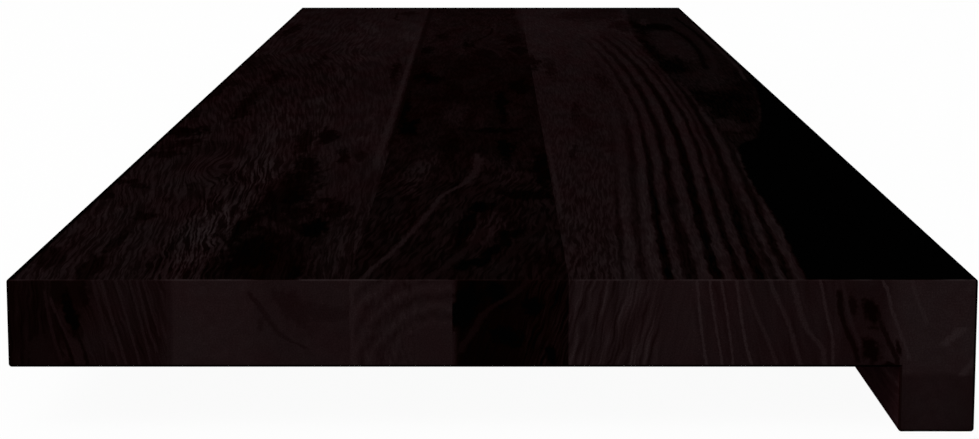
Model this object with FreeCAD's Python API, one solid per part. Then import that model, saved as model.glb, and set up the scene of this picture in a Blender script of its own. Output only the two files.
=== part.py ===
import FreeCAD, Part
import os

# Stair tread: a board glued up edge to edge from full-length staves, with a square strip glued
# under its front edge as a dropped nosing. Everything is in millimetres.
# X runs from the rear edge to the nosing, Y along the staves, and Z up.
# The origin is under the middle of the tread, level with the foot of the nosing.

# Driving dimensions.
TREAD_LENGTH = 1219.0
BOARD_THICKNESS = 27.0
STAVE_1_WIDTH = 48.0
STAVE_2_WIDTH = 55.0
STAVE_3_WIDTH = 31.0
STAVE_4_WIDTH = 35.0
STAVE_5_WIDTH = 37.0
STAVE_6_WIDTH = 43.0
STAVE_7_WIDTH = 43.0
NOSING_THICKNESS = 23.0
NOSING_DROP = 20.0
EASING_RADIUS = 1.0

# The staves in order, from the rear edge to the front.
STAVE_WIDTHS = (
    STAVE_1_WIDTH,
    STAVE_2_WIDTH,
    STAVE_3_WIDTH,
    STAVE_4_WIDTH,
    STAVE_5_WIDTH,
    STAVE_6_WIDTH,
    STAVE_7_WIDTH,
)

# Sizes and places that follow from the driving dimensions.
TREAD_DEPTH = sum(STAVE_WIDTHS)
REAR_X = -TREAD_DEPTH / 2
FRONT_X = TREAD_DEPTH / 2
NOSING_INNER_X = FRONT_X - NOSING_THICKNESS
UNDERSIDE_Z = NOSING_DROP
TOP_Z = UNDERSIDE_Z + BOARD_THICKNESS

# Two positions nearer than this are the same place.
SAME_PLACE = 0.001


def joint_positions():
    """X of the rear edge, of each glue joint, and of the front edge."""
    positions = [REAR_X]
    for width in STAVE_WIDTHS:
        positions.append(positions[-1] + width)
    return positions


def block(low_x, high_x, low_z, high_z):
    """A square-edged block as long as the tread."""
    corner = FreeCAD.Vector(low_x, -TREAD_LENGTH / 2, low_z)
    return Part.makeBox(high_x - low_x, TREAD_LENGTH, high_z - low_z, corner)


def square_blank():
    """The board and its nosing strip glued up as one L-shaped blank, its edges still sharp."""
    board = block(REAR_X, FRONT_X, UNDERSIDE_Z, TOP_Z)
    strip = block(NOSING_INNER_X, FRONT_X, 0, UNDERSIDE_Z)
    return board.fuse(strip).removeSplitter()


def is_inner_corner(edge):
    """Whether this is the edge where the back of the nosing meets the board's underside."""
    middle = edge.CenterOfMass
    at_nosing = abs(middle.x - NOSING_INNER_X) < SAME_PLACE
    at_underside = abs(middle.z - UNDERSIDE_Z) < SAME_PLACE
    return at_nosing and at_underside


def eased_blank():
    """The blank with every outer edge rounded over, and the inner corner left sharp."""
    blank = square_blank()
    outer_edges = [edge for edge in blank.Edges if not is_inner_corner(edge)]
    return blank.makeFillet(EASING_RADIUS, outer_edges)


def build():
    """Each piece by name: the eased blank parted along its glue joints."""
    blank = eased_blank()
    joints = joint_positions()
    pieces = {}
    for number, (rear, front) in enumerate(zip(joints, joints[1:]), start=1):
        pieces[f"stave_{number}"] = blank.common(block(rear, front, UNDERSIDE_Z, TOP_Z))
    pieces["nosing_strip"] = blank.common(block(NOSING_INNER_X, FRONT_X, 0, UNDERSIDE_Z))
    return pieces


def main():
    os.makedirs("parts", exist_ok=True)
    for name, shape in build().items():
        shape.exportStep(os.path.join("parts", name + ".step"))
        print(name, len(shape.Solids), "solid", round(shape.Volume), "mm3", shape.isValid())


main()
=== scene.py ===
import math
from collections import namedtuple

import bpy
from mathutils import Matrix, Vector


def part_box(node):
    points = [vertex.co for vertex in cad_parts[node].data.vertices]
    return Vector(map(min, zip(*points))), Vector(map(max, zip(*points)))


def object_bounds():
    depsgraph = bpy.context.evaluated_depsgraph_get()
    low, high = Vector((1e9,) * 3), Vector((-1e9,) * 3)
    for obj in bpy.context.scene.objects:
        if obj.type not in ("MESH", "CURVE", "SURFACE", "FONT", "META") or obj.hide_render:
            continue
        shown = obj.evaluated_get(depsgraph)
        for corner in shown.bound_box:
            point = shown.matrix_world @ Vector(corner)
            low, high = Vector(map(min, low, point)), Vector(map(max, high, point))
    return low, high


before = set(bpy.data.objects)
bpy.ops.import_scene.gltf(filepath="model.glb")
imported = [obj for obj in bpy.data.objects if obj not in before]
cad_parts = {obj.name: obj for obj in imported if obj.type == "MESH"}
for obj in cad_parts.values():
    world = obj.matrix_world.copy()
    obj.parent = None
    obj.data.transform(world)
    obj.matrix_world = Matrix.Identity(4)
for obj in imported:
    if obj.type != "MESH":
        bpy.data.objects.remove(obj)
cad_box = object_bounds()

# A stair tread of near-black stained wood on a white floor. Every piece keeps its shape and gets a
# material of its own, whose grain is made of formulas, patches and streaks.

# Places on the wood are given in millimetres from the rear near corner of the walking surface.
# Across runs from the rear edge to the front, along from the near end to the far end, and
# below from the walking surface down.
MILLIMETRES_PER_METRE = 1000.0
REAR_X = cad_box[0].x
NEAR_Y = cad_box[0].y
TOP_Z = cad_box[1].z
TREAD_DEPTH = (cad_box[1].x - cad_box[0].x) * MILLIMETRES_PER_METRE
TREAD_LENGTH = (cad_box[1].y - cad_box[0].y) * MILLIMETRES_PER_METRE
TREAD_HEIGHT = (cad_box[1].z - cad_box[0].z) * MILLIMETRES_PER_METRE

# Two positions nearer than this are the same place, in millimetres.
SAME_PLACE = 0.1

# The camera looks along the tread from a little above its near end, through a long lens.
CAMERA_PLACE = Vector((-0.0008, -1.3623, 0.1787))
CAMERA_TILT_DOWN = math.radians(8.58)
CAMERA_LENS_MM = 93.62
SENSOR_WIDTH_MM = 36.0

# The floor glows for the camera, so that it shows white and its shadow stays light.
FLOOR_HALF_SIZE = 30.0
FLOOR_GLOW = 0.95
WORLD_LEVEL = 0.72

# Soft rectangular lamps: where each stands, what it points at, its size in metres and its power.
Lamp = namedtuple("Lamp", "name place aim width height power")
LAMPS = (
    Lamp("key", (-1.5, -2.5, 2.5), (0, 0, 0), 2.0, 2.0, 40),
    Lamp("low_fill", (-3.0, -0.95, 0.13), (0.12, -0.57, 0.01), 1.6, 0.2, 45),
)

# Tones are written as the red level, from 0 to 255, that the stained wood shows. The stain is
# a black that turns to a reddish, then a pinkish brown as it gets lighter.
STAIN_COLOURS = (
    (1, 1, 1),
    (4, 1.0, 0.5),
    (8, 2.3, 1.9),
    (12, 4.4, 4.4),
    (16, 7.0, 7.5),
    (20, 10.9, 11.7),
    (25, 15.6, 16.4),
    (40, 31.0, 32.0),
)
LIGHTEST_TONE = 40.0
BLACK = 1.0

# A patch is an oval of another tone with a ragged edge. Its place down is along on the walking
# surface and below on an end. Its lean is how far it moves across for each millimetre down.
Patch = namedtuple("Patch", "down across half_length half_width lean tone")

# A streak is a narrow line of another tone that runs through its points, each (down, across).
Streak = namedtuple("Streak", "tone half_width points")

# A texture is a smooth noise whose lumps have these sizes in millimetres: across the grain, along
# it, and below the surface unless it is the same all the way down. The seed picks the noise.
Texture = namedtuple("Texture", "seed width length height detail", defaults=(None, 1.0))

# How far apart the noises of two seeds are taken from the same noise.
SEED_SPACING = 53.7

# Noise this far from its average counts as fully light or fully dark.
CRISP_REACH = 0.28


class Field:
    """A number that varies over a surface, held as a node socket, for use in formulas."""

    def __init__(self, tree, socket):
        self.tree = tree
        self.socket = socket

    def __add__(self, other):
        return calculate(self.tree, "ADD", self, other)

    def __sub__(self, other):
        return calculate(self.tree, "SUBTRACT", self, other)

    def __mul__(self, other):
        return calculate(self.tree, "MULTIPLY", self, other)

    def __truediv__(self, other):
        return calculate(self.tree, "DIVIDE", self, other)

    def __neg__(self):
        return self * -1.0

    def __abs__(self):
        return calculate(self.tree, "ABSOLUTE", self)

    def largest(self, other):
        return calculate(self.tree, "MAXIMUM", self, other)

    def smallest(self, other):
        return calculate(self.tree, "MINIMUM", self, other)

    def root(self):
        return calculate(self.tree, "SQRT", self)

    def cosine(self):
        return calculate(self.tree, "COSINE", self)


def plug(tree, value, socket):
    """Feeds a field or a plain number to a node's input."""
    if isinstance(value, Field):
        tree.links.new(value.socket, socket)
    else:
        socket.default_value = value


def vector(tree, first, second, third):
    """The socket of a vector made of three fields or numbers."""
    node = tree.nodes.new("ShaderNodeCombineXYZ")
    for value, socket in zip((first, second, third), node.inputs):
        plug(tree, value, socket)
    return node.outputs[0]


def calculate(tree, operation, *values):
    """The field that a math operation gives."""
    node = tree.nodes.new("ShaderNodeMath")
    node.operation = operation
    for value, socket in zip(values, node.inputs):
        plug(tree, value, socket)
    return Field(tree, node.outputs[0])


def step(field, start, end):
    """Rises smoothly from 0 to 1 as the field goes from start to end, or falls if end is lower."""
    node = field.tree.nodes.new("ShaderNodeMapRange")
    node.interpolation_type = "SMOOTHSTEP"
    plug(field.tree, field, node.inputs["Value"])
    node.inputs["From Min"].default_value = min(start, end)
    node.inputs["From Max"].default_value = max(start, end)
    node.inputs["To Min"].default_value = 0.0 if start < end else 1.0
    node.inputs["To Max"].default_value = 1.0 if start < end else 0.0
    return Field(field.tree, node.outputs["Result"])


def window(field, start, end, fade):
    """1 between start and end, falling to 0 over the fade on both sides."""
    return step(field, start - fade, start) * step(field, end + fade, end)


def blend(first, second, share):
    """The first value where share is 0 and the second where it is 1."""
    tree = share.tree
    node = tree.nodes.new("ShaderNodeMix")
    node.data_type = "FLOAT"
    plug(tree, share, node.inputs[0])
    plug(tree, first, node.inputs[2])
    plug(tree, second, node.inputs[3])
    return Field(tree, node.outputs[0])


def distance(first, second):
    """How far a place is from the origin, by its two coordinates."""
    return (first * first + second * second).root()


def crisp(field):
    """Smooth random values pushed apart into light and dark, from -0.5 to 0.5."""
    return step(field, -CRISP_REACH, CRISP_REACH) - 0.5


def curve(field, start, end, height, points):
    """The smooth curve through (place, value) points, for places start to end and values to height."""
    node = field.tree.nodes.new("ShaderNodeFloatCurve")
    span = end - start
    plug(field.tree, (field - start) / span, node.inputs["Value"])
    line = node.mapping.curves[0]
    spots = [((place - start) / span, value / height) for place, value in points]
    if spots[0][0] > 0:
        spots.insert(0, (0.0, spots[0][1]))
    if spots[-1][0] < 1:
        spots.append((1.0, spots[-1][1]))
    line.points[0].location = spots[0]
    line.points[1].location = spots[-1]
    for spot in spots[1:-1]:
        line.points.new(*spot)
    node.mapping.update()
    return Field(field.tree, node.outputs["Value"]) * height


def linear(level):
    """The linear value of an sRGB level from 0 to 255."""
    share = level / 255.0
    if share <= 0.04045:
        return share / 12.92
    return ((share + 0.055) / 1.055) ** 2.4


def stain(tone, saturation):
    """The colour socket of the stained wood for a field of tones."""
    node = tone.tree.nodes.new("ShaderNodeValToRGB")
    plug(tone.tree, tone / LIGHTEST_TONE, node.inputs["Fac"])
    stops = node.color_ramp.elements
    while len(stops) < len(STAIN_COLOURS):
        stops.new(1.0)
    for stop, levels in zip(stops, STAIN_COLOURS):
        stop.position = levels[0] / LIGHTEST_TONE
        stop.color = [linear(level) for level in levels] + [1.0]
    tint = tone.tree.nodes.new("ShaderNodeHueSaturation")
    tone.tree.links.new(node.outputs["Color"], tint.inputs["Color"])
    plug(tone.tree, saturation, tint.inputs["Saturation"])
    return tint.outputs["Color"]


# A pair says where a change starts and where it is full. These are for the parts of the normal
# that show which face, or which rounded arris, a point lies on.
FACE_TURN = (0.6, 0.8)
END_ARRIS_TURN = (0.35, 0.6)
ARRIS_FLATNESS = (0.99, 0.96)
ARRIS_TURN = (0.12, 0.28)

# The dark rim beside the long edges of the walking surface starts this far in, and is full this far in.
RIM_WIDTHS = (2.7, 1.6)

# The noises that make outlines ragged, break the streaks and bend the patches.
RAGGED = Texture(3.1, 2.2, 11.0, 2.2, 4.0)
BROKEN = Texture(6.1, 0.9, 7.0, 1.8, 2.0)
SWAY_ACROSS = Texture(4.1, 7.0, 28.0, 5.0, 2.0)
SWAY_DOWN = Texture(5.1, 6.0, 24.0, 5.0, 2.0)

# How far the patches' outlines are bent on the walking surface and on the ends, as (across, down).
TOP_SWAY = (4.5, 16.0)
END_SWAY = (1.8, 1.8)

# An oval's edge, as the distance from its middle in shares of its size, from outside to inside, and
# how ragged it is. The reach is how far out, in half widths, a patch can still show.
PATCH_EDGE = (1.4, 0.6)
PATCH_RAGGEDNESS = 1.1
PATCH_REACH = 1.5

# The same for a streak, in shares of its half width, and how broken its edge is.
STREAK_EDGE = (1.05, 0.3)
STREAK_RAGGEDNESS = 0.5
STREAK_BREAKS = 0.6


class Wood:
    """The node tree of one piece's material, with the places and directions its formulas use."""

    def __init__(self, name, low, high):
        self.material = bpy.data.materials.new(name)
        self.material.use_nodes = True
        self.tree = self.material.node_tree
        self.low = (low.x - REAR_X) * MILLIMETRES_PER_METRE
        self.high = (high.x - REAR_X) * MILLIMETRES_PER_METRE
        place = self.tree.nodes.new("ShaderNodeTexCoord")
        self.find_places(place.outputs["Object"])
        self.find_faces(place.outputs["Normal"])
        self.ragged = self.noise(RAGGED)
        self.broken = self.noise(BROKEN)
        self.sway_across = self.noise(SWAY_ACROSS)
        self.sway_down = self.noise(SWAY_DOWN)

    def split(self, socket):
        """The three fields of a vector socket."""
        node = self.tree.nodes.new("ShaderNodeSeparateXYZ")
        self.tree.links.new(socket, node.inputs[0])
        return [Field(self.tree, output) for output in node.outputs]

    def find_places(self, place):
        """Works out how far across, along and below each point lies, and which lie on the rim."""
        x, y, z = self.split(place)
        self.across = (x - REAR_X) * MILLIMETRES_PER_METRE
        self.along = (y - NEAR_Y) * MILLIMETRES_PER_METRE
        self.below = (-z + TOP_Z) * MILLIMETRES_PER_METRE
        half_depth = TREAD_DEPTH / 2
        off_middle = abs(self.across - half_depth)
        self.on_rim = step(off_middle, half_depth - RIM_WIDTHS[0], half_depth - RIM_WIDTHS[1])

    def find_faces(self, normal):
        """Works out which face or arris each point lies on."""
        x, y, z = self.split(normal)
        # Outward is to the rear on the rear stave, and to the front on every other piece.
        outward = x * (-1.0 if self.low < SAME_PLACE else 1.0)
        flattest = abs(x).largest(abs(y)).largest(abs(z))
        rounded = step(flattest, *ARRIS_FLATNESS)
        self.on_side = step(abs(x), *FACE_TURN)
        self.on_inner_side = step(-outward, *FACE_TURN)
        self.on_end = step(abs(y), *FACE_TURN)
        self.on_underside = step(-z, *FACE_TURN)
        self.on_end_arris = step(abs(y).smallest(z), *END_ARRIS_TURN)
        self.on_outer_arris = rounded * step(outward.largest(-z), *ARRIS_TURN)
        self.on_inner_arris = rounded * step(-outward, *ARRIS_TURN)

    def noise(self, texture, across=None, down=None, shift=0.0):
        """Smooth random values, 0 on average and mostly between -0.5 and 0.5. They are laid over
        the wood, or over the given places across and down. The shift is added to the seed."""
        across = self.across if across is None else across
        down = self.along if down is None else down
        below = self.below / texture.height if texture.height else 0.0
        depth = below + (texture.seed + shift) * SEED_SPACING
        node = self.tree.nodes.new("ShaderNodeTexNoise")
        place = vector(self.tree, across / texture.width, down / texture.length, depth)
        self.tree.links.new(place, node.inputs["Vector"])
        node.inputs["Scale"].default_value = 1.0
        node.inputs["Detail"].default_value = texture.detail
        return Field(self.tree, node.outputs["Fac"]) * 2.0 - 1.0

    def level(self, points, highest=LIGHTEST_TONE):
        """A tone, or another value up to the highest, that changes along the length."""
        return curve(self.along, 0, TREAD_LENGTH, highest, points)

    def path(self, points):
        """A line across that changes along the length."""
        return self.level(points, TREAD_DEPTH)

    def reaches(self, lowest, highest):
        """Whether something between these places across lies on this piece."""
        return highest > self.low and lowest < self.high

    def oval(self, spot, patch):
        """How far each spot is from the middle of a patch, in shares of the patch's size."""
        shrink = self.tree.nodes.new("ShaderNodeMapping")
        shrink.vector_type = "TEXTURE"
        self.tree.links.new(spot, shrink.inputs["Vector"])
        shrink.inputs["Location"].default_value = (patch.down, patch.across, 0)
        shrink.inputs["Rotation"].default_value = (0, 0, math.atan(patch.lean))
        shrink.inputs["Scale"].default_value = (patch.half_length, patch.half_width, 1)
        length = self.tree.nodes.new("ShaderNodeVectorMath")
        length.operation = "LENGTH"
        self.tree.links.new(shrink.outputs[0], length.inputs[0])
        return Field(self.tree, length.outputs["Value"])

    def add_patches(self, tone, down, patches, sway):
        """The tone with the patches laid over it. Down is along on the top and below on an end."""
        bent_down = down + self.sway_down * sway[1]
        bent_across = self.across + self.sway_across * sway[0]
        spot = vector(self.tree, bent_down, bent_across, 0.0)
        raggedness = self.ragged * PATCH_RAGGEDNESS
        for patch in patches:
            reach = patch.half_width * PATCH_REACH + abs(patch.lean) * patch.half_length
            if self.reaches(patch.across - reach, patch.across + reach):
                share = step(self.oval(spot, patch) + raggedness, *PATCH_EDGE)
                tone = blend(tone, patch.tone, share)
        return tone

    def add_streaks(self, tone, down, span, streaks, fade):
        """The tone with the streaks drawn over it. Span is the longest that down can be."""
        raggedness = self.ragged * STREAK_RAGGEDNESS + self.broken * STREAK_BREAKS
        for streak in streaks:
            places = [across for _, across in streak.points]
            if self.reaches(min(places) - streak.half_width, max(places) + streak.half_width):
                line = curve(down, 0, span, TREAD_DEPTH, streak.points)
                off_line = abs(self.across - line) / streak.half_width
                ends = window(down, streak.points[0][0], streak.points[-1][0], fade)
                tone = blend(tone, streak.tone, step(off_line + raggedness, *STREAK_EDGE) * ends)
        return tone


# The walking surface, rear part: fine wavy rings that drift towards the rear edge.
REAR_TOP_PATCHES = (
    Patch(18, 41, 28, 4.5, 0.05, 12.5),
    Patch(80, 52.5, 72, 5.5, 0.03, 20.0),
    Patch(138, 46.5, 18, 5.0, 0.0, 20.5),
    Patch(200, 44, 15, 3.2, 0.0, 12.5),
    Patch(138, 9.5, 12, 4.5, 0.0, 20.0),
    Patch(490, 60, 24, 3.2, 0.0, 21.5),
    Patch(271, 60, 15, 3.2, 0.0, 20.5),
    Patch(683, 61, 28, 3.2, 0.0, 20.5),
    Patch(436, 92, 20, 4.0, 0.0, 22.0),
    Patch(400, 48, 90, 8.0, -0.03, 20.0),
    Patch(10, 74, 150, 15.5, 0.0, 6.5),
    Patch(185, 70.5, 80, 8.5, 0.02, 6.0),
    Patch(265, 71, 35, 4.0, -0.03, 5.5),
    Patch(45, 70, 38, 7.0, 0.0, 2.5),
    Patch(105, 61.5, 42, 3.2, 0.03, 3.5),
    Patch(40, 84, 50, 4.5, -0.01, 7.0),
    Patch(100, 85.5, 17, 3.2, -0.02, 1.5),
    Patch(175, 73, 22, 3.0, -0.05, 2.5),
    Patch(14, 86.5, 9, 2.0, 0.0, 2.5),
    Patch(108, 71, 14, 5.0, -0.25, 13.0),
    Patch(85, 80, 12, 3.0, -0.3, 12.5),
    Patch(212, 63.5, 16, 2.6, 0.0, 12.0),
    Patch(48, 88, 9, 2.6, 0.0, 11.0),
    Patch(142, 91, 17, 4.5, 0.0, 7.0),
    Patch(368, 73, 30, 4.5, -0.04, 7.0),
    Patch(350, 64.5, 48, 3.6, -0.04, 9.5),
    Patch(384, 9, 17, 10.0, 0.1, 5.5),
    Patch(328, 28, 26, 7.0, 0.25, 12.5),
    Patch(304, 9, 11, 6.5, 0.0, 9.0),
    Patch(340, 12, 20, 8.0, 0.2, 9.5),
    Patch(357, 8, 4, 6.0, 0.1, 18.0),
    Patch(125, 24.5, 10, 3.4, 0.0, 8.0),
    Patch(20, 23, 30, 3.0, 0.0, 8.0),
    Patch(75, 22.5, 28, 1.8, -0.02, 8.5),
    Patch(178, 3, 9, 3.2, 0.0, 8.0),
    Patch(212, 9, 16, 3.2, -0.45, 8.5),
    Patch(205, 33, 8, 1.6, 0.0, 10.0),
    Patch(172, 27, 6, 1.4, 0.0, 11.0),
    Patch(231, 41, 10, 2.0, -0.05, 8.0),
    Patch(40, 6, 18, 4.0, -0.1, 10.0),
    Patch(295, 84.5, 30, 1.7, -0.03, 9.0),
    Patch(296, 92, 16, 3.4, 0.0, 11.5),
    Patch(500, 25, 80, 3.4, -0.01, 8.5),
    Patch(650, 27, 50, 4.0, -0.03, 9.5),
    Patch(680, 92, 65, 2.4, -0.02, 9.0),
    Patch(575, 3.5, 50, 2.8, -0.02, 8.5),
    Patch(612, 6.5, 18, 3.6, 0.0, 8.5),
    Patch(455, 4, 24, 3.0, 0.0, 9.0),
    Patch(950, 90, 36, 5.0, 0.0, 25.0),
    Patch(960, 67, 95, 3.4, -0.12, 24.0),
    Patch(360, 92, 12, 6.0, 0.0, 23.5),
    Patch(770, 72, 20, 8.0, 0.0, 23.0),
    Patch(990, 10, 55, 4.5, 0.04, 9.5),
    Patch(725, 8, 55, 6.0, 0.0, 10.5),
    Patch(870, 24, 45, 2.4, -0.05, 12.5),
    Patch(930, 94, 36, 6.0, 0.0, 26.0),
    Patch(1000, 57, 50, 2.6, -0.04, 23.0),
    Patch(1152, 86, 24, 6.0, 0.0, 14.0),
    Patch(1125, 76.5, 40, 1.4, -0.03, 13.0),
    Patch(735, 45, 45, 3.0, 0.0, 11.0),
    Patch(200, 57.5, 13, 2.6, 0.0, 12.5),
    Patch(168, 86, 10, 3.6, 0.0, 7.0),
    Patch(58, 100, 13, 2.6, 0.0, 18.0),
    Patch(110, 98, 13, 2.4, 0.0, 10.0),
    Patch(13, 96, 11, 3.0, 0.0, 16.5),
)
REAR_TOP_STREAKS = (
    Streak(26.0, 2.0, ((290, 99.2), (560, 98.8), (800, 98.2), (1000, 97.8))),
    Streak(8.0, 1.9, ((340, 102.8), (700, 102.0), (790, 101.6))),
    Streak(12.5, 2.6, ((790, 101.8), (900, 101.4), (1050, 101.1), (1219, 100.9))),
)
REAR_STREAK_FADE = 40
REAR_LEVEL = (
    (0, 16.5), (250, 16.5), (400, 16.8), (500, 16.6), (700, 16.0), (820, 18.5), (1219, 19.2),
)
REAR_FRONT_LEVEL = (
    (0, 14.0), (120, 15.5), (200, 17.8), (400, 20.0), (620, 17.6), (760, 18.8), (850, 21.0),
)
REAR_FRONT_START = (42, 62)
REAR_BANDS = Texture(4.0, 8.0, 60.0)
REAR_BANDS_TONE = 4.0

# The rings drift this far across for each millimetre along, up to a length. The drift is less further
# in, and would be nothing at a depth. They wander and ripple more the nearer they are.
REAR_DRIFT = 0.09
REAR_DRIFT_LENGTH = 800.0
REAR_DRIFT_DEPTH = 140.0
REAR_NEARNESS = (480, 120)
REAR_WANDER = Texture(1.0, 26.0, 150.0)
REAR_WANDER_FAR = 2.0
REAR_WANDER_NEAR = 5.0
REAR_RIPPLE = Texture(2.0, 5.0, 24.0, None, 2.0)
REAR_RIPPLE_FAR = 0.34
REAR_RIPPLE_NEAR = 1.7

# They swell around one eye, whose reach is in shares of its size.
EYE_ALONG = 255.0
EYE_ACROSS = 33.0
EYE_HALF_LENGTH = 52.0
EYE_HALF_WIDTH = 9.0
EYE_REACH = 1.3
EYE_SWELL = 6.0

# Long lines, broken into dashes at the near end.
REAR_LINES = Texture(3.0, 0.85, 42.0)
REAR_LINES_NEAR = 0.8
REAR_DASHES = Texture(12.0, 0.8, 12.0)
REAR_DASHES_NEAR = 0.5
REAR_NEAR_END = (240, 60)

# How strong the lines are along the length, and where they are calm or bold. At a strength of one
# unit they change the tone by half of itself either way.
REAR_LINE_STRENGTH = ((0, 11.5), (350, 9.5), (700, 8.0), (900, 6.0), (1219, 3.5))
REAR_LINE_UNIT = 15.0
REAR_CALM_ACROSS = (74, 105, 6)
REAR_CALM_ALONG = (120, 190)
REAR_CALMING = 0.5
REAR_BOLD_ACROSS = (42, 58, 5)
REAR_BOLD_ALONG = (320, 240)
REAR_EMBOLDENING = 0.6


def rear_rings(wood):
    """The place across, bent so that it is the same all along a ring of the rear part."""
    inwards = wood.across * (-1.0 / REAR_DRIFT_DEPTH) + 1.0
    drift = wood.along.smallest(REAR_DRIFT_LENGTH) * REAR_DRIFT * inwards
    nearness = step(wood.along, *REAR_NEARNESS)
    wander = wood.noise(REAR_WANDER) * blend(REAR_WANDER_FAR, REAR_WANDER_NEAR, nearness)
    ripple = wood.noise(REAR_RIPPLE) * blend(REAR_RIPPLE_FAR, REAR_RIPPLE_NEAR, nearness)
    eye_down = (wood.along - EYE_ALONG) / EYE_HALF_LENGTH
    eye_across = (wood.across - EYE_ACROSS) / EYE_HALF_WIDTH
    eye = step(distance(eye_down, eye_across), EYE_REACH, 0.0)
    return wood.across + drift + wander + ripple + eye * EYE_SWELL


def rear_lines(wood, rings):
    """How far the fine lines of the rear part lighten or darken it, as a share of its tone."""
    near_end = step(wood.along, *REAR_NEAR_END)
    dashes = wood.noise(REAR_DASHES, rings) * near_end * REAR_DASHES_NEAR
    long_lines = wood.noise(REAR_LINES, rings) * blend(1.0, REAR_LINES_NEAR, near_end)
    calm = window(wood.across, *REAR_CALM_ACROSS) * step(wood.along, *REAR_CALM_ALONG)
    bold = window(wood.across, *REAR_BOLD_ACROSS) * step(wood.along, *REAR_BOLD_ALONG)
    boldness = bold * REAR_EMBOLDENING - calm * REAR_CALMING + 1.0
    strength = wood.level(REAR_LINE_STRENGTH) * boldness / REAR_LINE_UNIT
    return crisp(long_lines + dashes) * strength


def rear_top(wood):
    """Tone of the walking surface from the rear edge to the first change of tone."""
    rings = rear_rings(wood)
    in_front = step(wood.across, *REAR_FRONT_START)
    tone = blend(wood.level(REAR_LEVEL), wood.level(REAR_FRONT_LEVEL), in_front)
    tone = tone + wood.noise(REAR_BANDS, rings) * REAR_BANDS_TONE
    tone = wood.add_patches(tone, wood.along, REAR_TOP_PATCHES, TOP_SWAY)
    tone = tone * (rear_lines(wood, rings) + 1.0)
    return wood.add_streaks(tone, wood.along, TREAD_LENGTH, REAR_TOP_STREAKS, REAR_STREAK_FADE)


# The walking surface, middle part: dark wood with rings that slant towards the front.
MIDDLE_TOP_PATCHES = (
    Patch(103, 145, 30, 5.4, 0.12, 14.5),
    Patch(258, 118, 52, 6.0, 0.06, 15.5),
    Patch(272, 146, 30, 4.4, 0.08, 12.5),
    Patch(234, 154, 28, 4.8, 0.05, 14.0),
    Patch(72, 130, 22, 3.4, 0.05, 11.5),
    Patch(455, 129, 50, 5.0, 0.02, 14.5),
    Patch(435, 141, 36, 3.4, 0.02, 13.0),
    Patch(462, 157, 38, 5.0, 0.0, 12.5),
    Patch(336, 165, 18, 5.0, 0.0, 12.0),
    Patch(540, 160, 28, 8.0, 0.0, 11.0),
    Patch(330, 107, 36, 3.0, 0.0, 12.5),
    Patch(620, 138, 48, 8.0, 0.04, 11.0),
    Patch(700, 155, 46, 5.0, -0.03, 11.0),
    Patch(590, 115, 26, 5.0, 0.0, 10.5),
    Patch(205, 127, 13, 2.8, 0.05, 9.0),
    Patch(212, 133, 13, 2.4, 0.1, 4.5),
    Patch(58, 135.5, 14, 2.4, 0.1, 4.0),
    Patch(35, 164, 15, 3.6, 0.0, 4.5),
    Patch(106, 138, 34, 2.2, 0.04, 2.5),
    Patch(150, 143, 12, 3.2, 0.1, 1.5),
    Patch(180, 158, 12, 10.0, 0.1, 3.0),
    Patch(322, 152, 34, 3.0, 0.0, 1.5),
    Patch(255, 166, 60, 3.4, 0.0, 3.0),
    Patch(52, 146, 44, 2.6, 0.2, 2.0),
    Patch(28, 139, 12, 3.0, 0.15, 1.0),
    Patch(92, 153, 15, 3.4, 0.2, 2.5),
    Patch(402, 109, 30, 4.2, 0.0, 1.0),
    Patch(470, 103, 80, 2.6, 0.0, 2.5),
    Patch(330, 128, 40, 5.0, 0.0, 5.5),
    Patch(650, 112, 34, 8.0, 0.0, 2.5),
    Patch(500, 151, 70, 2.8, 0.0, 2.5),
    Patch(390, 149, 10, 10.0, 0.0, 3.0),
    Patch(560, 128, 50, 4.0, -0.03, 6.5),
    Patch(820, 128, 30, 3.0, 0.0, 17.0),
    Patch(870, 131, 30, 3.0, 0.0, 5.0),
    Patch(865, 112, 26, 7.0, 0.25, 17.0),
    Patch(895, 124, 36, 5.0, 0.1, 16.5),
    Patch(945, 106, 55, 2.6, 0.0, 18.0),
    Patch(1090, 107, 60, 5.0, 0.0, 17.5),
    Patch(820, 106, 26, 3.4, 0.0, 5.5),
    Patch(930, 114, 26, 3.4, 0.0, 8.5),
    Patch(800, 142, 30, 7.0, 0.0, 8.0),
    Patch(1000, 134, 24, 8.0, 0.0, 16.5),
    Patch(1030, 148, 60, 2.0, 0.0, 18.5),
    Patch(820, 163, 34, 6.0, 0.0, 7.0),
    Patch(910, 160, 40, 6.0, 0.0, 8.5),
    Patch(700, 116, 46, 5.0, -0.03, 12.0),
    Patch(590, 161, 40, 5.0, 0.0, 3.5),
)

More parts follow.
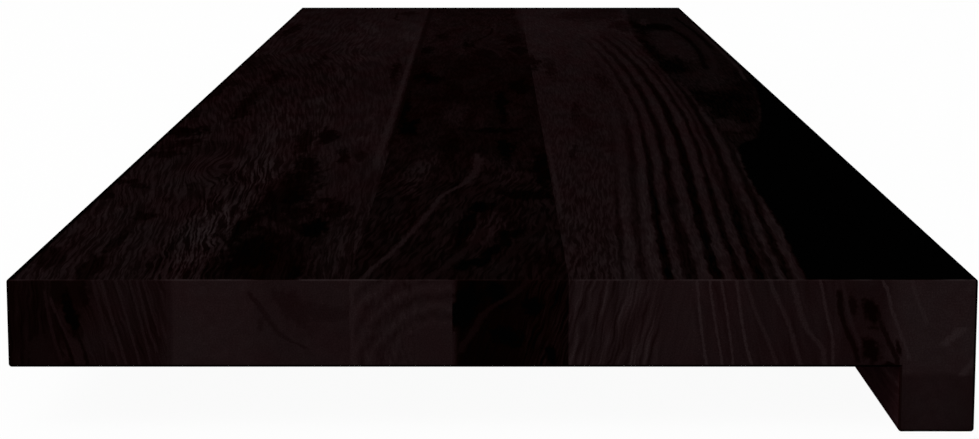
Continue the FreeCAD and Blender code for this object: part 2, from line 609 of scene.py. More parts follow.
# Its main line slants towards the front, and far along three lines arch towards the rear edge.
SLANT_PATH = (
    (0, 107), (25, 110), (50, 114), (100, 120), (150, 125), (178, 127.5), (192, 130.5),
    (212, 135.5), (238, 138.8), (265, 140), (300, 140),
)
REAR_ARCH = ((800, 147), (835, 140), (855, 133), (880, 134), (910, 139), (960, 146), (1000, 147))
MIDDLE_ARCH = ((780, 152), (828, 147), (850, 141), (870, 139), (895, 141), (950, 148), (1010, 152))
FRONT_ARCH = ((790, 161), (832, 154), (870, 147), (905, 151), (960, 157), (1040, 156))
MIDDLE_TOP_STREAKS = (
    Streak(22.5, 1.5, SLANT_PATH),
    Streak(22.0, 2.6, ((215, 136), (238, 139), (262, 140.5), (285, 141))),
    Streak(14.0, 2.0, ((0, 127), (50, 136.5), (95, 143))),
    Streak(13.0, 1.2, ((0, 117), (40, 123), (85, 129), (140, 134))),
    Streak(11.0, 1.4, ((0, 146), (60, 154), (120, 164))),
    Streak(17.0, 1.6, MIDDLE_ARCH),
    Streak(15.0, 1.6, FRONT_ARCH),
    Streak(8.5, 1.2, REAR_ARCH),
    Streak(21.5, 3.6, ((950, 171.5), (1010, 169.5), (1080, 168.0), (1150, 167.0), (1219, 166.8))),
)
MIDDLE_STREAK_FADE = 12
MIDDLE_LEVEL = ((0, 9.0), (200, 9.8), (400, 9.4), (740, 9.3), (820, 13.5), (1219, 13.9))
MIDDLE_CLOUD = Texture(7.0, 7.0, 34.0, None, 2.0)
MIDDLE_CLOUD_TONE = 6.0

# The rings follow the slanting line this closely, with a ripple of so many millimetres.
MIDDLE_SLANT = 0.6
MIDDLE_RIPPLE = Texture(5.0, 8.0, 26.0)
MIDDLE_RIPPLE_WIDTH = 2.4

# The lines' strength, in the same way as in the rear part.
MIDDLE_LINES = Texture(6.0, 1.2, 20.0)
MIDDLE_LINE_STRENGTH = ((0, 7.0), (200, 7.0), (300, 4.5), (500, 3.5), (1219, 3.0))
MIDDLE_LINE_UNIT = 8.0


def middle_top(wood):
    """Tone of the dark middle part of the walking surface."""
    ripple = wood.noise(MIDDLE_RIPPLE) * MIDDLE_RIPPLE_WIDTH
    rings = wood.across - wood.path(SLANT_PATH) * MIDDLE_SLANT + ripple
    strength = wood.level(MIDDLE_LINE_STRENGTH) / MIDDLE_LINE_UNIT
    lines = crisp(wood.noise(MIDDLE_LINES, rings)) * strength
    tone = wood.level(MIDDLE_LEVEL) + wood.noise(MIDDLE_CLOUD) * MIDDLE_CLOUD_TONE
    tone = wood.add_patches(tone, wood.along, MIDDLE_TOP_PATCHES, TOP_SWAY)
    tone = tone * (lines + 1.0)
    return wood.add_streaks(tone, wood.along, TREAD_LENGTH, MIDDLE_TOP_STREAKS, MIDDLE_STREAK_FADE)


# The walking surface, front part: strong rings that swing towards the front and back again. Their
# light and dark lines are given by their place across at the near end and by their tone.
FRONT_RING_PATH = (
    (0, 0.0), (60, 2.0), (120, 4.2), (155, 5.8), (205, 7.8), (257, 10.3), (308, 12.3), (360, 14.1),
    (410, 15.6), (515, 17.3), (615, 17.3), (720, 15.9), (800, 13.3), (870, 10.3), (955, 5.3),
    (1219, 1.3),
)
NEAR_FRONT_RINGS = (
    (180.7, 16), (183.7, 21), (185.7, 11), (188.0, 28), (191.7, 12), (195.7, 28), (199.3, 3),
    (201.7, 22), (205.2, 8), (207.2, 10), (210.5, 23), (213.5, 3), (217.4, 24), (220.4, 6),
    (223.2, 21), (226.7, 4), (229.7, 14), (230.9, 10), (232.7, 23), (235.3, 7), (238.7, 24),
    (241.7, 8),
)
FAR_FRONT_RINGS = (
    (181.7, 17), (184.7, 15), (188.7, 19), (192.7, 11), (196.2, 27), (198.9, 7.5), (202.3, 25),
    (206.0, 7), (209.7, 25), (213.7, 3.5), (217.7, 26), (220.7, 8), (222.7, 21), (224.7, 12),
    (226.2, 17), (228.3, 6), (231.7, 22), (234.7, 8.5), (237.7, 22), (241.7, 9),
)
FRONT_RINGS_SPAN = (180, 250)
FRONT_RINGS_FARNESS = (120, 280)

# Those tones are mixed with the same tones at more contrast.
FRONT_RINGS_SHARE = 0.4
FRONT_RINGS_CONTRAST = (4.0, 20.0)
FRONT_RINGS_CONTRAST_TONE = 12.0
FRONT_RINGS_BASE_TONE = 2.1

# The rings are bent by a ripple, and jitter near the near end.
FRONT_RIPPLE = Texture(9.0, 4.0, 50.0, None, 2.0)
FRONT_RIPPLE_WIDTH = 1.6
FRONT_JITTER = Texture(8.0, 1.5, 8.0)
FRONT_JITTER_WIDTH = 0.8
FRONT_JITTER_ALONG = (300, 0)

# How clear the rings are along the length. They start past the joint, and far from the near end the
# inner ones are faint.
FRONT_RING_STRENGTH = ((0, 1.0), (450, 0.93), (620, 0.75), (780, 0.56), (900, 0.3), (1000, 0.0))
FRONT_RINGS_START = (181, 186)
INNER_RINGS_ALONG = (560, 300)
INNER_RINGS_ACROSS = (189, 206)
INNER_RINGS_FAINTEST = 0.25

# Past this line the wood is plain and darker.
FRONT_RING_LIMIT = (
    (0, 241), (100, 244.2), (200, 247.5), (260, 249), (400, 248), (600, 247.5), (700, 244),
    (860, 242), (960, 241.5), (1050, 244), (1219, 250),
)
RING_LIMIT_EDGE = (-1.0, 2.0)
RING_LIMIT_RAGGEDNESS = 3.0

# Past this line it is black.
BLACK_EDGE = (
    (0, 240.3), (60, 242.4), (105, 244.3), (150, 244.8), (200, 245.4), (257, 247), (308, 250),
    (340, 254), (358, 262), (400, 268), (460, 275), (515, 280), (615, 287), (720, 292),
)
BLACK_EDGE_FADE = (-0.8, 1.0)
BLACK_EDGE_RAGGEDNESS = 1.5

FRONT_LEVEL = (
    (0, 17.8), (250, 19.2), (350, 20.2), (600, 20.2), (740, 21.2), (850, 23.3), (1219, 23.4),
)
FRONT_PLAIN_LEVEL = ((0, 9.0), (450, 7.5), (650, 9.0), (760, 11.0), (900, 12.2), (1219, 12.7))
FRONT_CLOUD = Texture(11.0, 9.0, 60.0, None, 2.0)
FRONT_CLOUD_TONE = 3.5

# The fine grain is weaker on top of clear rings.
FRONT_GRAIN = Texture(10.0, 0.9, 22.0)
FRONT_GRAIN_TONE = ((0, 13.0), (150, 10.5), (300, 6.5), (600, 6.0), (1219, 4.0))
FRONT_GRAIN_ON_RINGS = 0.5

FRONT_TOP_PATCHES = (
    Patch(465, 187, 45, 1.8, 0.02, 11.0),
    Patch(400, 191, 90, 5.0, 0.0, 17.0),
    Patch(620, 206, 45, 3.6, 0.0, 12.5),
    Patch(335, 199, 24, 2.6, 0.04, 12.5),
    Patch(310, 181, 26, 1.6, 0.03, 13.0),
    Patch(700, 180, 60, 3.0, 0.0, 15.0),
    Patch(417, 255, 32, 7.5, 0.0, 15.0),
    Patch(900, 226, 120, 7.0, 0.0, 20.5),
    Patch(362, 256, 12, 6.5, 0.1, 11.5),
    Patch(412, 269, 12, 7.0, 0.0, 11.0),
    Patch(500, 258, 55, 9.0, 0.05, 2.5),
    Patch(455, 268, 34, 5.0, 0.08, 3.5),
    Patch(470, 250, 36, 2.4, 0.02, 12.0),
    Patch(540, 262, 34, 18.0, 0.0, 2.5),
    Patch(640, 252, 44, 6.0, 0.05, 12.0),
    Patch(640, 266, 70, 9.0, 0.06, 14.0),
    Patch(720, 252, 52, 11.0, 0.1, 2.5),
    Patch(820, 246, 90, 3.6, -0.01, 3.5),
    Patch(1000, 249, 90, 5.0, -0.02, 4.0),
    Patch(865, 261, 130, 10.5, -0.01, 16.5),
    Patch(750, 256, 30, 2.4, 0.05, 4.0),
    Patch(860, 255, 40, 2.6, 0.0, 16.0),
    Patch(1022, 260, 34, 12.0, 0.0, 2.5),
    Patch(1105, 264, 52, 15.0, 0.0, 13.0),
    Patch(1060, 255, 30, 3.0, 0.05, 19.0),
    Patch(1180, 232, 45, 14.0, 0.0, 15.5),
    Patch(620, 283, 60, 4.0, 0.05, 5.0),
    Patch(740, 171, 45, 2.6, 0.0, 10.5),
    Patch(436, 249.5, 22, 1.8, 0.0, 6.0),
    Patch(1130, 220, 55, 24.0, 0.0, 17.5),
    Patch(1020, 237, 55, 7.0, 0.0, 15.0),
)
FRONT_TOP_STREAKS = (
    Streak(25.0, 1.1, ((150, 170.3), (250, 170.6), (330, 170.4))),
    Streak(15.0, 1.1, ((400, 271), (430, 272), (465, 275.5), (510, 279.5))),
    Streak(4.0, 2.4, ((705, 269), (800, 273.5), (900, 274.5), (980, 271), (1020, 264))),
    Streak(15.0, 2.4, ((690, 273), (740, 277), (800, 279.5), (900, 280.5), (980, 278), (1040, 273))),
    Streak(4.5, 1.8, ((850, 284.5), (950, 284.5), (1100, 281))),
    Streak(20.0, 1.4, ((640, 285), (700, 287.5), (800, 288), (1040, 288.5))),
)
FRONT_STREAK_FADE = 25


def front_rings(wood):
    """The place across at the near end of the ring that each point lies on."""
    ripple = wood.noise(FRONT_RIPPLE) * FRONT_RIPPLE_WIDTH
    jitter = wood.noise(FRONT_JITTER) * step(wood.along, *FRONT_JITTER_ALONG) * FRONT_JITTER_WIDTH
    return wood.across - wood.path(FRONT_RING_PATH) + ripple + jitter


def front_lines(wood, rings):
    """Tone of the rings of the front part."""
    near_lines = curve(rings, *FRONT_RINGS_SPAN, LIGHTEST_TONE, NEAR_FRONT_RINGS)
    far_lines = curve(rings, *FRONT_RINGS_SPAN, LIGHTEST_TONE, FAR_FRONT_RINGS)
    lines = blend(near_lines, far_lines, step(wood.along, *FRONT_RINGS_FARNESS))
    contrast = step(lines, *FRONT_RINGS_CONTRAST) * FRONT_RINGS_CONTRAST_TONE
    return lines * FRONT_RINGS_SHARE + contrast + FRONT_RINGS_BASE_TONE


def front_clearness(wood, rings, plain):
    """How clearly the rings of the front part show, from 0 to 1."""
    outward = step(wood.along, *INNER_RINGS_ALONG).largest(step(rings, *INNER_RINGS_ACROSS))
    clearness = wood.level(FRONT_RING_STRENGTH, 1.0) * step(rings, *FRONT_RINGS_START)
    return clearness * blend(INNER_RINGS_FAINTEST, 1.0, outward) * (-plain + 1.0)


def front_top(wood):
    """Tone of the walking surface from the dark middle part to the front edge."""
    rings = front_rings(wood)
    past_limit = wood.across - wood.path(FRONT_RING_LIMIT) + wood.ragged * RING_LIMIT_RAGGEDNESS
    plain = step(past_limit, *RING_LIMIT_EDGE)
    clearness = front_clearness(wood, rings, plain)
    tone = blend(wood.level(FRONT_LEVEL), wood.level(FRONT_PLAIN_LEVEL), plain)
    tone = tone + wood.noise(FRONT_CLOUD) * FRONT_CLOUD_TONE
    tone = wood.add_patches(tone, wood.along, FRONT_TOP_PATCHES, TOP_SWAY)
    tone = blend(tone, front_lines(wood, rings), clearness)
    grain = crisp(wood.noise(FRONT_GRAIN, rings)) * wood.level(FRONT_GRAIN_TONE)
    tone = tone + grain * blend(1.0, FRONT_GRAIN_ON_RINGS, clearness)
    tone = wood.add_streaks(tone, wood.along, TREAD_LENGTH, FRONT_TOP_STREAKS, FRONT_STREAK_FADE)
    past_edge = wood.across - wood.path(BLACK_EDGE) + wood.ragged * BLACK_EDGE_RAGGEDNESS
    return blend(tone, BLACK, step(past_edge, *BLACK_EDGE_FADE))


# The end grain. Each piece's level goes by the place across, as (across, tone).
END_LEVELS = {
    "stave_1": ((0, 7.5), (11, 8.3), (14, 11.5), (22, 12.0), (25, 14.4), (45, 14.4), (47, 18.8)),
    "stave_2": ((48, 18.8), (49.2, 19.0), (50.2, 23.8), (72, 23.8), (77, 22.2), (103, 22.2)),
    "stave_3": ((103, 24.0), (108, 22.4), (134, 22.2)),
    "stave_4": (
        (134, 21.0), (134.7, 17.0), (135.7, 6.0), (137, 3.2), (150, 4.4), (156, 5.4), (160, 8.0),
        (169, 7.4),
    ),
    "stave_5": ((169, 20.8), (190, 21.4), (206, 22.8)),
    "stave_6": ((206, 22.5), (211, 20.8), (225, 20.3), (235, 19.2), (249, 19.2)),
    "stave_7": (
        (249, 20.5), (252, 18.5), (261, 17.5), (265, 20.0), (271, 25.6), (280, 25.2), (292, 26.2),
    ),
    "nosing_strip": ((269, 20.0), (279, 21.5), (285, 20.5), (292, 19.0)),
}
END_PATCHES = (
    Patch(23.0, 10.0, 5.0, 4.0, 0.2, 12.0),
    Patch(22.5, 21.5, 5.5, 4.0, 0.3, 17.0),
    Patch(4.0, 20.5, 5.0, 4.0, 0.2, 8.5),
    Patch(3.0, 15.8, 5.0, 2.2, 0.15, 6.5),
    Patch(10.8, 19.2, 6.5, 1.7, 0.3, 2.0),
    Patch(4.0, 23.2, 4.0, 1.1, 0.15, 6.5),
    Patch(13.5, 76.2, 1.9, 1.1, 0.0, 18.2),
    Patch(9.0, 86.5, 7.5, 3.4, 0.9, 17.8),
    Patch(10.5, 96.0, 2.6, 8.0, 0.0, 18.8),
    Patch(8.5, 137.5, 7.5, 4.0, -0.6, 1.0),
    Patch(4.5, 147.5, 3.0, 4.5, -1.0, 1.0),
    Patch(8.0, 158.5, 3.0, 3.0, -0.4, 1.0),
    Patch(17.5, 150.5, 2.6, 5.0, -0.3, 1.0),
    Patch(23.0, 164.0, 3.0, 1.4, 0.0, 1.0),
    Patch(8.3, 254.3, 3.0, 1.5, 0.2, 9.5),
    Patch(10.4, 260.2, 4.4, 2.2, 0.35, 5.0),
    Patch(21.5, 260.2, 3.6, 2.6, 0.3, 5.5),
    Patch(21.0, 268.3, 2.6, 0.8, 0.3, 9.0),
    Patch(26.4, 265.6, 0.8, 3.0, 0.0, 6.0),
)
END_STREAKS = (
    Streak(16.0, 0.8, ((4, 11.8), (10, 12.4), (17, 13.8), (27, 16.4))),
    Streak(18.0, 0.7, ((6, 13.4), (12.5, 15.8), (17, 17.5), (21.7, 19.2), (26, 21.2))),
    Streak(7.0, 0.8, ((11, 14.4), (18, 17.2), (26, 19.6))),
    Streak(7.5, 0.8, ((17, 21.3), (21, 22.8), (27, 24.0))),
    Streak(19.0, 0.7, ((0, 26.0), (4, 26.8), (12.5, 28.9), (21.7, 31.4))),
    Streak(21.0, 0.7, ((0, 28.6), (4, 29.5), (12.5, 31.8), (21.7, 34.4), (27, 35.7))),
    Streak(21.0, 0.6, ((0, 32.8), (4, 33.8), (12.5, 36.2), (21.7, 38.6), (27, 39.8))),
    Streak(20.0, 0.6, ((0, 37.0), (4, 38.0), (8, 39.1), (16, 40.9), (25, 42.8))),
    Streak(20.5, 0.6, ((0, 39.2), (8, 41.0), (17, 43.1), (21.7, 44.7))),
    Streak(19.5, 0.5, ((0, 41.2), (8, 43.1), (17, 45.6))),
    Streak(17.3, 1.4, ((4.5, 73.2), (8, 76.0), (13, 79.2), (16.7, 82.1), (19, 85.5), (20.6, 89.1))),
    Streak(26.0, 0.9, ((0, 103.9), (27, 103.9))),
    Streak(10.5, 1.8, ((0, 157.5), (1, 156.4), (5.6, 151), (8.6, 145.7), (16.7, 139.8), (22, 136.5))),
    Streak(30.0, 0.6, ((0, 207.4), (4, 207.8), (12.5, 208.7), (21.7, 209.9), (27, 210.8))),
    Streak(29.5, 0.6, ((0, 211.3), (4, 211.7), (12.5, 213.0), (27, 215.4))),
    Streak(29.0, 0.6, ((0, 214.7), (4, 215.4), (12.5, 216.9), (27, 218.7))),
    Streak(29.5, 0.7, ((0, 219.3), (4, 219.9), (12.5, 221.1), (21.7, 222.9), (27, 224.4))),
    Streak(25.5, 0.9, ((0, 222.0), (4, 223.2), (12.5, 226.2), (17, 228.4), (21.7, 230.2), (27, 231.9))),
    Streak(26.5, 1.0, ((0, 229.4), (4, 230.8), (12.5, 234.7), (21.7, 237.7), (27, 239.2))),
    Streak(26.5, 1.3, ((0, 236.0), (4, 237.1), (12.5, 239.5), (16, 241.2), (20, 244.8), (27, 246.4))),
    Streak(28.0, 0.7, ((0, 244.4), (4, 245.3), (12.5, 247.1), (17, 248.3), (27, 248.8))),
    Streak(8.5, 1.2, ((4, 250.4), (11.5, 251.3), (15.5, 252.7), (19.8, 254.7), (25, 256.3))),
    Streak(22.0, 0.8, ((1, 251.2), (4, 251.9), (12.5, 253.8), (17, 255.6), (20, 256.8))),
    Streak(10.0, 1.1, ((11, 262.2), (15, 263.6), (20, 266.0), (25.5, 268.2))),
    Streak(29.5, 0.8, ((0, 263.0), (4, 264.9), (8, 265.8), (12.5, 267.3), (17, 269.1), (24, 271.6))),
    Streak(28.5, 0.9, ((0, 272.0), (4, 273.1), (8, 274.6), (13, 276.6))),
    Streak(31.5, 2.6, ((15.4, 287.0), (19.8, 282.7))),
    Streak(30.0, 1.8, ((24.5, 291.5), (29, 288.2))),
)
END_STREAK_FADE = 1.2

# The nosing strip is a little lighter just below its joint with the board.
NOSING_TOP_TONE = 25.0
NOSING_TOP_BELOW = (28.2, 30.2)

# Most staves' rings lean by so much across for each millimetre down. They are faint on one side of
# a change across and strong on the other. The ones next to the rear edge stand upright.
LeaningRings = namedtuple("LeaningRings", "lean texture faint strong change")
LEANING_RINGS = {
    "stave_1": LeaningRings(-0.3, Texture(22.0, 0.8, 14.0), 7.5, 9.5, (10, 20)),
    "stave_4": LeaningRings(0.35, Texture(23.0, 0.8, 12.0), 3.0, 16.0, (152, 160)),
    "stave_5": LeaningRings(0.24, Texture(24.0, 1.1, 16.0), 3.0, 18.0, (198, 193)),
    "stave_6": LeaningRings(-0.25, Texture(25.0, 1.6, 14.0), 5.0, 5.0, (206, 249)),
}
LEANING_START = (8, 22)
END_RIPPLE = Texture(21.0, 3.5, 6.0)
END_RIPPLE_WIDTH = 1.2

# Stave 3 has arched rings round a middle near its foot, with coarse cells where they are steep.
ARCH_ACROSS = 130.6
ARCH_BELOW = 29.4
ARCH_RADIUS = 26.9
ARCH_SPACING = 5.4
ARCH_START = (13, 18)
ARCH_TONE = 2.8
ARCH_RIPPLE = 1.6
ARCH_BREAKS = Texture(27.0, 2.2, 2.2, None, 2.0)
ARCH_BREAKS_STRENGTH = 1.6
ARCH_CELLS = Texture(28.0, 0.9, 2.6)
ARCH_CELLS_ACROSS = (109, 121, 4)
ARCH_CELLS_TONE = 7.0

# The other pieces show no rings, only a mottle.
END_MOTTLE = Texture(26.0, 3.0, 3.0)
END_MOTTLE_TONE = 2.5


def leaning_rings(wood, ripple, rings):
    """How far leaning rings lighten or darken each point of an end."""
    lean = step(wood.across, *LEANING_START) * rings.lean
    place = wood.across + wood.below * lean + ripple
    strength = blend(rings.faint, rings.strong, step(wood.across, *rings.change))
    return wood.noise(rings.texture, place, wood.below) * strength


def arched_rings(wood, ripple):
    """How far the arched rings and the cells lighten or darken each point of an end."""
    radius = distance(wood.across - ARCH_ACROSS, wood.below - ARCH_BELOW) + ripple * ARCH_RIPPLE
    turn = (radius - ARCH_RADIUS) * (2 * math.pi / ARCH_SPACING)
    breaks = wood.noise(ARCH_BREAKS, down=wood.below) * ARCH_BREAKS_STRENGTH + 1.0
    arches = turn.cosine() * breaks * step(radius, *ARCH_START) * ARCH_TONE
    cells = wood.noise(ARCH_CELLS, down=wood.below) * window(wood.across, *ARCH_CELLS_ACROSS)
    return arches + cells * ARCH_CELLS_TONE


def end_rings(wood, name):
    """How far the rings lighten or darken each point of a piece's end."""
    ripple = wood.noise(END_RIPPLE, down=wood.below) * END_RIPPLE_WIDTH
    if name in LEANING_RINGS:
        return leaning_rings(wood, ripple, LEANING_RINGS[name])
    if name == "stave_3":
        return arched_rings(wood, ripple)
    return wood.noise(END_MOTTLE, down=wood.below) * END_MOTTLE_TONE


def end_grain(wood, name):
    """Tone of a piece's ends, which are the same all through its length."""
    level = curve(wood.across, 0, TREAD_DEPTH, LIGHTEST_TONE, END_LEVELS[name])
    if name == "nosing_strip":
        level = blend(NOSING_TOP_TONE, level, step(wood.below, *NOSING_TOP_BELOW))
    own_patches = [patch for patch in END_PATCHES if wood.reaches(patch.across, patch.across)]
    tone = wood.add_patches(level + end_rings(wood, name), wood.below, own_patches, END_SWAY)
    return wood.add_streaks(tone, wood.below, TREAD_HEIGHT, END_STREAKS, END_STREAK_FADE)


# Which part of the walking surface each stave belongs to.
TOPS = {
    "stave_1": rear_top,
    "stave_2": rear_top,
    "stave_3": middle_top,
    "stave_4": middle_top,
    "stave_5": front_top,
    "stave_6": front_top,
    "stave_7": front_top,
}

# Tones of the plain faces along the grain, with fine straight rings that wander a little.
UNDERSIDE_LEVELS = {
    "stave_1": 14.0,
    "stave_2": 18.0,
    "stave_3": 11.0,
    "stave_4": 9.0,
    "stave_5": 19.0,
    "stave_6": 16.0,
    "stave_7": 13.0,
    "nosing_strip": 16.0,
}
# Painted light: the inner sides, such as the nosing strip's face in shade under the overhang, get a
# lighter tone than the other plain faces.
INNER_SIDE_PAINTED_LIGHT_LEVEL = 23.0
PLAIN_WANDER = Texture(0.0, 30.0, 180.0, 30.0)
PLAIN_WANDER_WIDTH = 6.0
PLAIN_RINGS = Texture(0.5, 1.6, 80.0)
PLAIN_RINGS_LEAN = 0.8
PLAIN_RINGS_TONE = 12.0

# Each piece's plain faces have their own grain, by how far it lies from the tread's middle.
SEEDS_PER_METRE = 100.0

# Fine fibres in the stain, in its gloss and in its relief.
FIBRE = Texture(31.0, 0.5, 9.0, 0.5)
FIBRE_TONE = 0.14
FIBRE_ROUGHNESS = 0.2
ROUGHNESS = 0.7
RELIEF_STRENGTH = 0.3
RELIEF_METRES = 0.0001

# Painted highlight on the top arris of the ends: how strong it is by place across, where the rounded
# edge would catch the light.
ARRIS_HIGHLIGHT = (
    (2, 0.6), (9, 0.3), (16, 0.4), (22, 0.2), (40, 0.15), (47, 0.4), (58, 1.0), (67, 0.9), (74, 0.5),
    (82, 0.05), (88, 0.4), (94, 1.0), (106, 1.0), (112, 0.7), (118, 0.35), (130, 0.5), (135, 0.15),
    (149, 0.25), (155, 0.06), (168, 0.06), (172, 0.5), (184, 0.6), (197, 0.3), (204, 0.7), (215, 0.95),
    (222, 0.5), (232, 0.6), (240, 0.35), (246, 0.6), (251, 0.3), (257, 0.6), (263, 0.3), (276, 0.3),
    (282, 0.6), (289, 1.0),
)
ARRIS_HIGHLIGHT_TONE = 34.0
ARRIS_HIGHLIGHT_BREAKS = Texture(32.0, 3.0, 5.0, None, 2.0)
ARRIS_HIGHLIGHT_BREAKS_STRENGTH = 0.8

# Painted shade darkens the outer arrises. The walking surface is also darker along the rim and in a
# band at the far edge.
OUTER_ARRIS_SHADE_TONE = 2.5
INNER_ARRIS_TONE = 12.0
FAR_EDGE_TONE = 3.0
FAR_EDGE_WIDTHS = (22.0, 8.0)

# How red the stain is: greyest on top near the near end, redder on the ends and sides. Each gain
# comes on over its pair of places.
REDNESS_PATCHES = Texture(33.0, 14.0, 60.0, 14.0, 2.0)
TOP_REDNESS = 0.68
TOP_REDNESS_PATCHY = 0.35
FAR_REDNESS = 0.12
FAR_REDNESS_ALONG = (0, 500)
INNER_REDNESS = 0.24
INNER_REDNESS_ACROSS = (252, 238)
END_REDNESS = 0.93
END_REDNESS_PATCHY = 0.25
END_INNER_REDNESS = 0.07
END_INNER_REDNESS_ACROSS = (275, 262)
OUTER_SIDE_REDNESS = 1.1
INNER_SIDE_REDNESS = 1.3


def redness(wood):
    """How saturated the stain's colour is, where 1 is as the stain colours are written."""
    patchy = wood.noise(REDNESS_PATCHES)
    far = step(wood.along, *FAR_REDNESS_ALONG) * FAR_REDNESS
    inner = step(wood.across, *INNER_REDNESS_ACROSS) * INNER_REDNESS
    on_top = patchy * TOP_REDNESS_PATCHY + far + inner + TOP_REDNESS
    end_inner = step(wood.across, *END_INNER_REDNESS_ACROSS) * END_INNER_REDNESS
    on_end = patchy * END_REDNESS_PATCHY + end_inner + END_REDNESS
    on_side = blend(OUTER_SIDE_REDNESS, INNER_SIDE_REDNESS, wood.on_inner_side)
    return blend(blend(on_top, on_end, wood.on_end), on_side, wood.on_side)


def plain_grain(wood, name, seed):
    """Tone of a piece's plain faces along the grain."""
    # Painted light: the inner sides are given the lighter tone.
    level = blend(UNDERSIDE_LEVELS[name], INNER_SIDE_PAINTED_LIGHT_LEVEL, wood.on_inner_side)
    wander = wood.noise(PLAIN_WANDER, shift=seed) * PLAIN_WANDER_WIDTH
    depth = wood.across + wood.below * PLAIN_RINGS_LEAN + wander
    return wood.noise(PLAIN_RINGS, depth, shift=seed) * PLAIN_RINGS_TONE + level


def top_grain(wood, name):
    """Tone of a stave's walking surface, with its dark rim and far edge."""
    edge_start, edge_full = (TREAD_LENGTH - width for width in FAR_EDGE_WIDTHS)
    tone = blend(TOPS[name](wood), FAR_EDGE_TONE, step(wood.along, edge_start, edge_full))
    return blend(tone, BLACK, wood.on_rim)


def add_arrises(wood, tone):
    """The tone with a painted highlight on the end's top arris, painted shade on the outer arrises and
    darker inner arrises.
    """
    breaks = wood.noise(ARRIS_HIGHLIGHT_BREAKS, down=wood.below) * ARRIS_HIGHLIGHT_BREAKS_STRENGTH + 1.0
    highlight = curve(wood.across, 0, TREAD_DEPTH, 1.0, ARRIS_HIGHLIGHT) * breaks
    # Painted highlight: the end's top arris is lightened where the rounded edge would catch the light.
    tone = blend(tone, ARRIS_HIGHLIGHT_TONE, wood.on_end_arris * highlight)
    # Painted shade on the outer arrises.
    tone = blend(tone, OUTER_ARRIS_SHADE_TONE, wood.on_outer_arris)
    return blend(tone, INNER_ARRIS_TONE, wood.on_inner_arris)


def finish_wood(wood, tone, fibre):
    """Joins the tone and the fibres to the shader of a dull stained surface."""
    shader = wood.tree.nodes["Principled BSDF"]
    wood.tree.links.new(stain(tone, redness(wood)), shader.inputs["Base Color"])
    shader.inputs["Specular IOR Level"].default_value = 0.0
    plug(wood.tree, fibre * FIBRE_ROUGHNESS + ROUGHNESS, shader.inputs["Roughness"])
    bump = wood.tree.nodes.new("ShaderNodeBump")
    bump.inputs["Strength"].default_value = RELIEF_STRENGTH
    bump.inputs["Distance"].default_value = RELIEF_METRES
    plug(wood.tree, fibre, bump.inputs["Height"])
    wood.tree.links.new(bump.outputs["Normal"], shader.inputs["Normal"])


def wood_material(name):
    """The stained wood of one piece."""
    low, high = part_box(name)
    wood = Wood(name + "_wood", low, high)
    plain = plain_grain(wood, name, low.x * SEEDS_PER_METRE)
    tone = plain
    if name in TOPS:
        tone = blend(top_grain(wood, name), plain, wood.on_underside)
    tone = blend(tone, plain, wood.on_side)
    tone = blend(tone, end_grain(wood, name), wood.on_end)
    fibre = crisp(wood.noise(FIBRE))
    tone = add_arrises(wood, tone * (fibre * FIBRE_TONE + 1.0))
    finish_wood(wood, tone, fibre)
    return wood.material


def dress_wood():
    """Gives every piece its own stained wood."""
    for name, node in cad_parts.items():
        node.data.materials.clear()
        node.data.materials.append(wood_material(name))


def make_camera():
    """A camera at the photograph's viewing angle."""
    data = bpy.data.cameras.new("camera")
    data.lens = CAMERA_LENS_MM
    data.sensor_width = SENSOR_WIDTH_MM
    camera = bpy.data.objects.new("camera", data)
    camera.location = CAMERA_PLACE
    camera.rotation_euler = (math.pi / 2 - CAMERA_TILT_DOWN, 0, 0)
    bpy.context.scene.collection.objects.link(camera)
    bpy.context.scene.camera = camera


def sees_background(tree):
    """1 for what the camera, a reflection or a see-through surface shows, 0 for plain lighting."""
    path = tree.nodes.new("ShaderNodeLightPath")
    seen = Field(tree, path.outputs["Is Camera Ray"])
    seen = seen.largest(Field(tree, path.outputs["Is Glossy Ray"]))
    return seen.largest(Field(tree, path.outputs["Is Transmission Ray"]))


def mix_shaders(tree, share, first, second):
    """A mix of two shaders: the first where share is 0 and the second where it is 1."""
    mix = tree.nodes.new("ShaderNodeMixShader")
    plug(tree, share, mix.inputs["Fac"])
    tree.links.new(first.outputs[0], mix.inputs[1])
    tree.links.new(second.outputs[0], mix.inputs[2])
    return mix


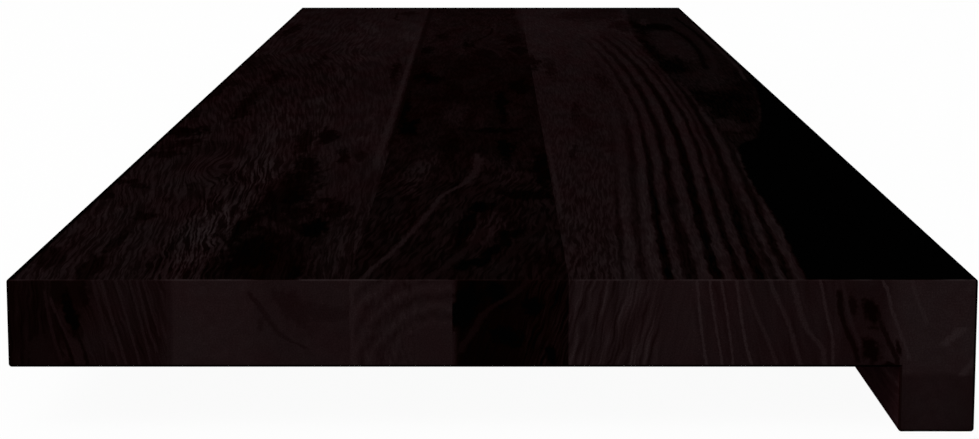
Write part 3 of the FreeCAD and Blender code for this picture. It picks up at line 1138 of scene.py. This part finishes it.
def floor_material():
    """A matt white floor, clear from below so that the underside can be looked at."""
    material = bpy.data.materials.new("floor")
    material.use_nodes = True
    tree = material.node_tree
    tree.nodes.clear()
    output = tree.nodes.new("ShaderNodeOutputMaterial")
    matt = tree.nodes.new("ShaderNodeBsdfDiffuse")
    matt.inputs["Color"].default_value = (1, 1, 1, 1)
    glow = tree.nodes.new("ShaderNodeEmission")
    clear = tree.nodes.new("ShaderNodeBsdfTransparent")
    geometry = tree.nodes.new("ShaderNodeNewGeometry")
    from_below = Field(tree, geometry.outputs["Backfacing"])
    white = mix_shaders(tree, sees_background(tree) * FLOOR_GLOW, matt, glow)
    both_sides = mix_shaders(tree, from_below, white, clear)
    tree.links.new(both_sides.outputs[0], output.inputs["Surface"])
    return material


def make_floor():
    """The floor that the tread stands on."""
    half = FLOOR_HALF_SIZE
    mesh = bpy.data.meshes.new("floor")
    corners = [(-half, -half, 0), (half, -half, 0), (half, half, 0), (-half, half, 0)]
    mesh.from_pydata(corners, [], [(0, 1, 2, 3)])
    mesh.materials.append(floor_material())
    floor = bpy.data.objects.new("floor", mesh)
    bpy.context.scene.collection.objects.link(floor)


def make_world():
    """A plain studio, white where it is seen."""
    world = bpy.data.worlds.new("studio")
    world.use_nodes = True
    tree = world.node_tree
    background = tree.nodes["Background"]
    background.inputs["Color"].default_value = (1, 1, 1, 1)
    plug(tree, sees_background(tree).largest(WORLD_LEVEL), background.inputs["Strength"])
    bpy.context.scene.world = world


def make_lamp(lamp):
    """A soft lamp that the camera doesn't see."""
    data = bpy.data.lights.new(lamp.name, "AREA")
    data.shape = "RECTANGLE"
    data.size = lamp.width
    data.size_y = lamp.height
    data.energy = lamp.power
    light = bpy.data.objects.new(lamp.name, data)
    light.location = lamp.place
    direction = Vector(lamp.aim) - Vector(lamp.place)
    light.rotation_euler = direction.to_track_quat("-Z", "Y").to_euler()
    light.visible_camera = False
    bpy.context.scene.collection.objects.link(light)


def main():
    """Lights and dresses the tread."""
    bpy.context.scene.view_settings.view_transform = "Standard"
    make_camera()
    make_world()
    make_floor()
    for lamp in LAMPS:
        make_lamp(lamp)
    dress_wood()


main()
